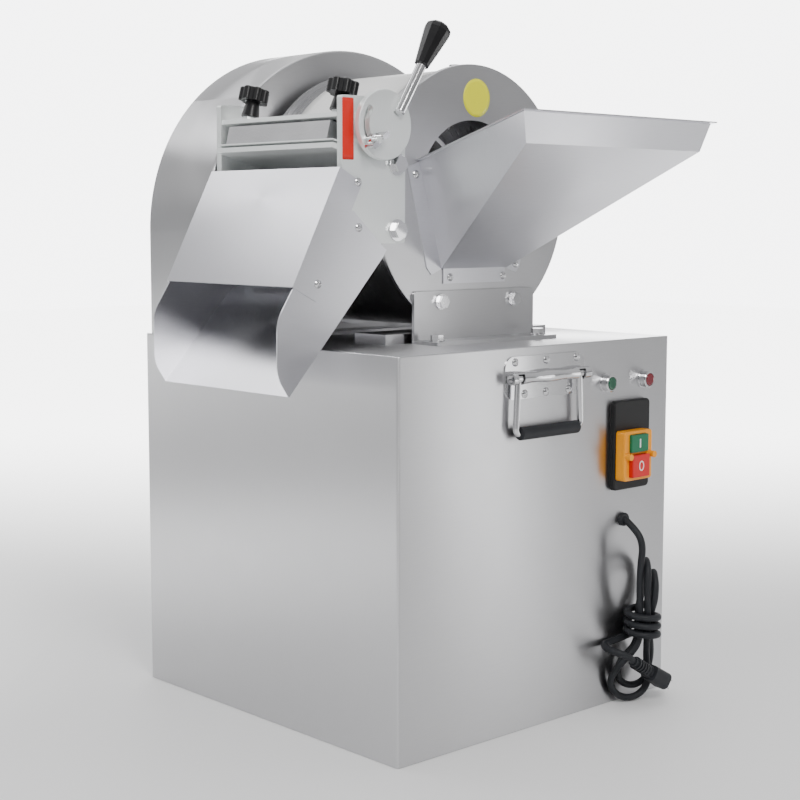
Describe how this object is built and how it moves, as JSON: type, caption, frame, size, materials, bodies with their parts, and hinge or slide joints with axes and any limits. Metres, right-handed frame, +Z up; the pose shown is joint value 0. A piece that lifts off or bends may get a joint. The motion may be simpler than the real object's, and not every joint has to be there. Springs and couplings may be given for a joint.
{
  "type": "vegetable cutting machine",
  "caption": "Sheet steel vegetable cutter: cabinet with motor, feed hopper, horizontal drum, knife gate with thickness lever, side discharge chute, belt guard and hanging mains cord.",
  "frame": {"origin": "centre of the cabinet's footprint, on the floor", "axes": "+Z up, -Y towards the side with the switch and the hopper, -X towards the side with the chute"},
  "size_m": [0.5517, 0.6195, 0.8359],
  "materials": {
    "stainless_sheet": "satin brushed sheet",
    "drum_steel": "satin, turned rims",
    "plate_steel": "ground thick plate",
    "machined_steel": "machined",
    "cast_aluminium": "cast and machined",
    "bright_fasteners": "bright plated",
    "black_plastic": "moulded",
    "yellow_plastic": "moulded",
    "green_plastic": "moulded",
    "red_plastic": "moulded",
    "dark_rubber": "moulded",
    "motor_paint": "painted"
  },
  "bodies": {
    "machine": {"cabinet_body": "stainless_sheet", "base_plate": "stainless_sheet", "rear_panel": "stainless_sheet", "drum_rail": "stainless_sheet", "drum_brackets": "stainless_sheet", "bracket_bolts": "bright_fasteners", "drum_front_plate": "drum_steel", "drum_shell": "drum_steel", "drum_back_plate": "drum_steel", "bearing_housing": "cast_aluminium", "bearings": "machined_steel", "motor": "motor_paint", "drive_belt": "dark_rubber", "belt_guard": "stainless_sheet", "near_side_plate": "plate_steel", "far_side_plate": "plate_steel", "side_plate_bolts": "bright_fasteners", "gate_bars": "plate_steel", "slicing_blade": "machined_steel", "blade_seat": "plate_steel", "clamp_bar": "plate_steel", "comb_plate": "plate_steel", "chute": "stainless_sheet", "hood": "stainless_sheet", "hopper": "stainless_sheet", "sheet_screws": "bright_fasteners", "switch_plate": "black_plastic", "switch_housing": "yellow_plastic", "lamp_bezels": "bright_fasteners", "green_lens": "green_plastic", "red_lens": "red_plastic", "handle_plates": "bright_fasteners", "cable_grommet": "dark_rubber", "mains_cord": "dark_rubber", "cord_hank": "dark_rubber", "plug_body": "dark_rubber", "plug_pins": "machined_steel"},
    "impeller_rotor": {"impeller": "cast_aluminium", "main_shaft": "machined_steel", "main_gear": "machined_steel", "driven_pulley": "cast_aluminium"},
    "motor_rotor": {"motor_pulley": "cast_aluminium"},
    "disc_knives": {"disc_rotor": "machined_steel", "disc_gear": "machined_steel"},
    "crosscut_knives": {"crosscut_rotor": "machined_steel", "crosscut_gear": "machined_steel"},
    "gauge": {"gauge_block": "cast_aluminium"},
    "lever": {"gauge_shaft": "machined_steel", "quadrant_disc": "plate_steel", "lever_rod": "machined_steel", "lever_grip": "black_plastic"},
    "nut": {"wing_nut": "bright_fasteners"},
    "front_knob": {"front_star_knob": "black_plastic"},
    "rear_knob": {"rear_star_knob": "black_plastic"},
    "start": {"start_button": "green_plastic"},
    "stop": {"stop_button": "red_plastic"},
    "front_handle": {"front_bail": "bright_fasteners", "front_grip": "dark_rubber"},
    "rear_handle": {"rear_bail": "bright_fasteners", "rear_grip": "dark_rubber"}
  },
  "joints": [
    {"name": "impeller_spin", "type": "hinge", "parent": "machine", "child": "impeller_rotor", "pos_m": [0, 0, 0.632], "axis": [0, -1, 0], "continuous": true},
    {"name": "motor_spin", "type": "hinge", "parent": "machine", "child": "motor_rotor", "pos_m": [0, 0, 0.118], "axis": [0, -1, 0], "continuous": true},
    {"name": "disc_knife_spin", "type": "hinge", "parent": "machine", "child": "disc_knives", "pos_m": [-0.18591, 0, 0.62616], "axis": [0, -1, 0], "continuous": true},
    {"name": "crosscut_spin", "type": "hinge", "parent": "machine", "child": "crosscut_knives", "pos_m": [-0.19797, 0, 0.56738], "axis": [0, -1, 0], "continuous": true},
    {"name": "lever_turn", "type": "hinge", "parent": "machine", "child": "lever", "pos_m": [-0.167, 0, 0.714], "axis": [0, -1, 0], "range_deg": [0, 75]},
    {"name": "gauge_slide", "type": "slide", "parent": "machine", "child": "gauge", "axis": [0.9659, 0, -0.2588], "range_m": [0, 0.006]},
    {"name": "wing_nut_turn", "type": "hinge", "parent": "machine", "child": "nut", "pos_m": [-0.18921, -0.15, 0.69536], "axis": [0, -1, 0], "continuous": true},
    {"name": "front_knob_turn", "type": "hinge", "parent": "machine", "child": "front_knob", "pos_m": [-0.20086, -0.1055, 0.73241], "axis": [0.2588, 0, 0.9659], "continuous": true},
    {"name": "rear_knob_turn", "type": "hinge", "parent": "machine", "child": "rear_knob", "pos_m": [-0.20086, 0.06, 0.73241], "axis": [0.2588, 0, 0.9659], "continuous": true},
    {"name": "start_press", "type": "slide", "parent": "machine", "child": "start", "axis": [0, 1, 0], "range_m": [0, 0.003], "stiffness_N_per_m": 400, "springref_m": -0.001},
    {"name": "stop_press", "type": "slide", "parent": "machine", "child": "stop", "axis": [0, 1, 0], "range_m": [0, 0.003], "stiffness_N_per_m": 400, "springref_m": -0.001},
    {"name": "front_handle_swing", "type": "hinge", "parent": "machine", "child": "front_handle", "pos_m": [-0.002, -0.2515, 0.4247], "axis": [-1, 0, 0], "range_deg": [0, 90]},
    {"name": "rear_handle_swing", "type": "hinge", "parent": "machine", "child": "rear_handle", "pos_m": [-0.002, 0.2515, 0.4247], "axis": [1, 0, 0], "range_deg": [0, 90]}
  ],
  "couplings": [
    {"joint": "motor_spin", "follows": "impeller_spin", "ratio": 2.7},
    {"joint": "disc_knife_spin", "follows": "impeller_spin", "ratio": -5.2},
    {"joint": "crosscut_spin", "follows": "impeller_spin", "ratio": 5.2},
    {"joint": "gauge_slide", "follows": "lever_turn", "m_per_rad": 0.00458}
  ]
}
